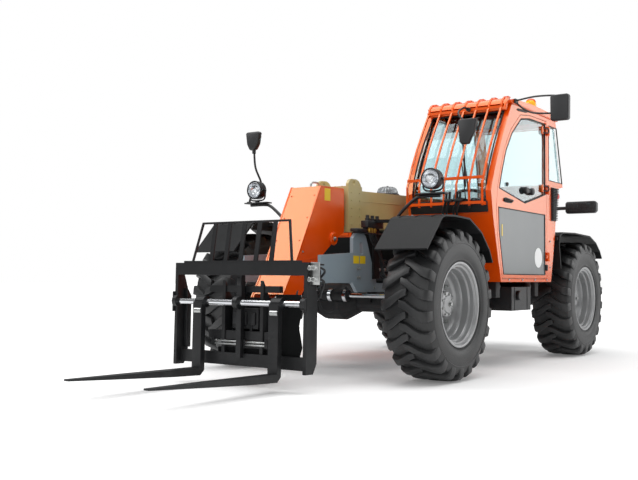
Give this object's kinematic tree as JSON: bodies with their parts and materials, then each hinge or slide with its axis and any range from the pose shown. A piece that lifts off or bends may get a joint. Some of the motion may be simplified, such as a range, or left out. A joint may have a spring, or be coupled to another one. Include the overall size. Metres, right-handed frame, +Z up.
{
  "type": "telescopic handler",
  "caption": "Compact telehandler with a side cab, a two-section telescopic boom, a tilting fork carriage with pallet forks, and four steered wheels.",
  "frame": {"origin": "the middle of the machine's footprint on the ground, forks, mirrors and hitch jaw counted", "axes": "+Z up, -Y to the front where the forks point, +X to the driver's left"},
  "size_m": [2.772, 6.2361, 2.497],
  "materials": {
    "orange": "gloss",
    "cream": "gloss",
    "slate": "satin",
    "black": "satin",
    "plastic": "textured",
    "silver": "satin",
    "chrome": "polished",
    "tyre": "matte",
    "iron": "cast",
    "cloth": "woven",
    "grey": "satin",
    "amber": "clear",
    "glass": "clear",
    "engine": "cast"
  },
  "bodies": {
    "chassis": {"beacon": "amber", "cab_frame": "orange", "cab_roof": "orange", "chassis_frame": "slate", "counterweight": "iron", "dashboard": "plastic", "engine_block": "engine", "engine_pod": "orange", "front_axle": "iron", "front_fender_left": "plastic", "front_fender_right": "plastic", "fuel_tank": "plastic", "headlamp_left": "plastic", "headlamp_right": "plastic", "mirror_front": "plastic", "mirror_left": "plastic", "mirror_right": "plastic", "precleaner": "plastic", "rear_axle": "iron", "rear_fender_left": "plastic", "rear_fender_right": "plastic", "rear_lamp_left": "plastic", "rear_lamp_right": "plastic", "rear_window": "glass", "right_window": "glass", "seat_back": "cloth", "seat_base": "black", "seat_cushion": "cloth", "windscreen": "glass", "windscreen_guard": "orange"},
    "cab_door": {"door_frame": "orange", "door_glass": "glass", "door_panel": "grey"},
    "engine_hood": {"engine_hood": "orange"},
    "steering_wheel": {"steering_wheel": "plastic"},
    "link_front": {"steering_rod_front": "chrome"},
    "link_rear": {"steering_rod_rear": "chrome"},
    "boom": {"outer_boom": "cream"},
    "boom_inner": {"inner_boom": "orange"},
    "carriage": {"carriage_frame": "black", "fork_shaft": "chrome", "backrest": "black"},
    "fork_left": {"fork_left": "black"},
    "fork_right": {"fork_right": "black"},
    "lift_barrel": {"lift_cylinder_barrel": "black"},
    "lift_rod": {"lift_cylinder_rod": "chrome"},
    "tilt_barrel": {"tilt_cylinder_barrel": "black"},
    "tilt_rod": {"tilt_cylinder_rod": "chrome"},
    "knuckle_front_left": {"knuckle_front_left": "iron"},
    "wheel_front_left": {"rim_front_left": "silver", "tyre_front_left": "tyre"},
    "knuckle_front_right": {"knuckle_front_right": "iron"},
    "wheel_front_right": {"rim_front_right": "silver", "tyre_front_right": "tyre"},
    "knuckle_rear_left": {"knuckle_rear_left": "iron"},
    "wheel_rear_left": {"rim_rear_left": "silver", "tyre_rear_left": "tyre"},
    "knuckle_rear_right": {"knuckle_rear_right": "iron"},
    "wheel_rear_right": {"rim_rear_right": "silver", "tyre_rear_right": "tyre"}
  },
  "joints": [
    {"name": "steer_front_left", "type": "hinge", "parent": "chassis", "child": "knuckle_front_left", "pos_m": [0.564, -0.60191, 0.59], "axis": [0, 0, 1], "range_deg": [-30, 30]},
    {"name": "wheel_front_left", "type": "hinge", "parent": "knuckle_front_left", "child": "wheel_front_left", "pos_m": [0.7115, -0.60191, 0.59], "axis": [1, 0, 0], "continuous": true},
    {"name": "steer_front_right", "type": "hinge", "parent": "chassis", "child": "knuckle_front_right", "pos_m": [-1.036, -0.60191, 0.59], "axis": [0, 0, 1], "range_deg": [-30, 30]},
    {"name": "wheel_front_right", "type": "hinge", "parent": "knuckle_front_right", "child": "wheel_front_right", "pos_m": [-1.1835, -0.60191, 0.59], "axis": [1, 0, 0], "continuous": true},
    {"name": "link_front", "type": "slide", "parent": "chassis", "child": "link_front", "axis": [1, 0, 0], "range_m": [-0.1, 0.1]},
    {"name": "steer_rear_left", "type": "hinge", "parent": "chassis", "child": "knuckle_rear_left", "pos_m": [0.564, 2.32309, 0.59], "axis": [0, 0, 1], "range_deg": [-30, 30]},
    {"name": "wheel_rear_left", "type": "hinge", "parent": "knuckle_rear_left", "child": "wheel_rear_left", "pos_m": [0.7115, 2.32309, 0.59], "axis": [1, 0, 0], "continuous": true},
    {"name": "steer_rear_right", "type": "hinge", "parent": "chassis", "child": "knuckle_rear_right", "pos_m": [-1.036, 2.32309, 0.59], "axis": [0, 0, 1], "range_deg": [-30, 30]},
    {"name": "wheel_rear_right", "type": "hinge", "parent": "knuckle_rear_right", "child": "wheel_rear_right", "pos_m": [-1.1835, 2.32309, 0.59], "axis": [1, 0, 0], "continuous": true},
    {"name": "link_rear", "type": "slide", "parent": "chassis", "child": "link_rear", "axis": [1, 0, 0], "range_m": [-0.1, 0.1]},
    {"name": "steering_wheel", "type": "hinge", "parent": "chassis", "child": "steering_wheel", "pos_m": [0.464, 0.57809, 1.49], "axis": [0, 0.4695, 0.8829], "range_deg": [-610, 610]},
    {"name": "cab_door", "type": "hinge", "parent": "chassis", "child": "cab_door", "pos_m": [0.879, 1.30609, 1.5], "axis": [0, 0, 1], "range_deg": [0, 95]},
    {"name": "engine_hood", "type": "hinge", "parent": "chassis", "child": "engine_hood", "pos_m": [-0.643, 0.76809, 1.606], "axis": [0, 1, 0], "range_deg": [0, 70]},
    {"name": "boom_lift", "type": "hinge", "parent": "chassis", "child": "boom", "pos_m": [-0.236, 2.54809, 1.4], "axis": [-1, 0, 0], "range_deg": [0, 64]},
    {"name": "boom_extend", "type": "slide", "parent": "boom", "child": "boom_inner", "axis": [0, -0.9996, -0.0297], "range_m": [0, 2.25]},
    {"name": "carriage_tilt", "type": "hinge", "parent": "boom_inner", "child": "carriage", "pos_m": [-0.236, -1.65191, 0.36], "axis": [1, 0, 0], "range_deg": [-15, 100]},
    {"name": "fork_left", "type": "slide", "parent": "carriage", "child": "fork_left", "axis": [1, 0, 0], "range_m": [-0.29, 0.16]},
    {"name": "fork_right", "type": "slide", "parent": "carriage", "child": "fork_right", "axis": [1, 0, 0], "range_m": [-0.19, 0.27]},
    {"name": "lift_barrel", "type": "hinge", "parent": "chassis", "child": "lift_barrel", "pos_m": [-0.236, 2.14809, 0.82], "axis": [-1, 0, 0], "range_deg": [0, 60]},
    {"name": "lift_rod", "type": "slide", "parent": "lift_barrel", "child": "lift_rod", "axis": [0, -0.963, 0.2696], "range_m": [-0.02, 0.75]},
    {"name": "tilt_barrel", "type": "hinge", "parent": "boom_inner", "child": "tilt_barrel", "pos_m": [-0.236, -0.90391, 1.1], "axis": [1, 0, 0], "range_deg": [-3, 3]},
    {"name": "tilt_rod", "type": "slide", "parent": "tilt_barrel", "child": "tilt_rod", "axis": [0, -0.7874, -0.6165], "range_m": [-0.08, 0.3]}
  ],
  "couplings": [
    {"joint": "steer_front_right", "follows": "steer_front_left", "ratio": 1},
    {"joint": "link_front", "follows": "steer_front_left", "m_per_rad": 0.1862},
    {"joint": "steer_rear_right", "follows": "steer_rear_left", "ratio": 1},
    {"joint": "link_rear", "follows": "steer_rear_left", "m_per_rad": -0.1862},
    {"joint": "steering_wheel", "follows": "steer_front_left", "ratio": 20},
    {"joint": "lift_barrel", "follows": "boom_lift", "ratio": 0.9156},
    {"joint": "lift_rod", "follows": "boom_lift", "m_per_rad": 0.6585},
    {"joint": "tilt_barrel", "follows": "carriage_tilt", "ratio": 0.0115},
    {"joint": "tilt_rod", "follows": "carriage_tilt", "m_per_rad": 0.1498}
  ]
}
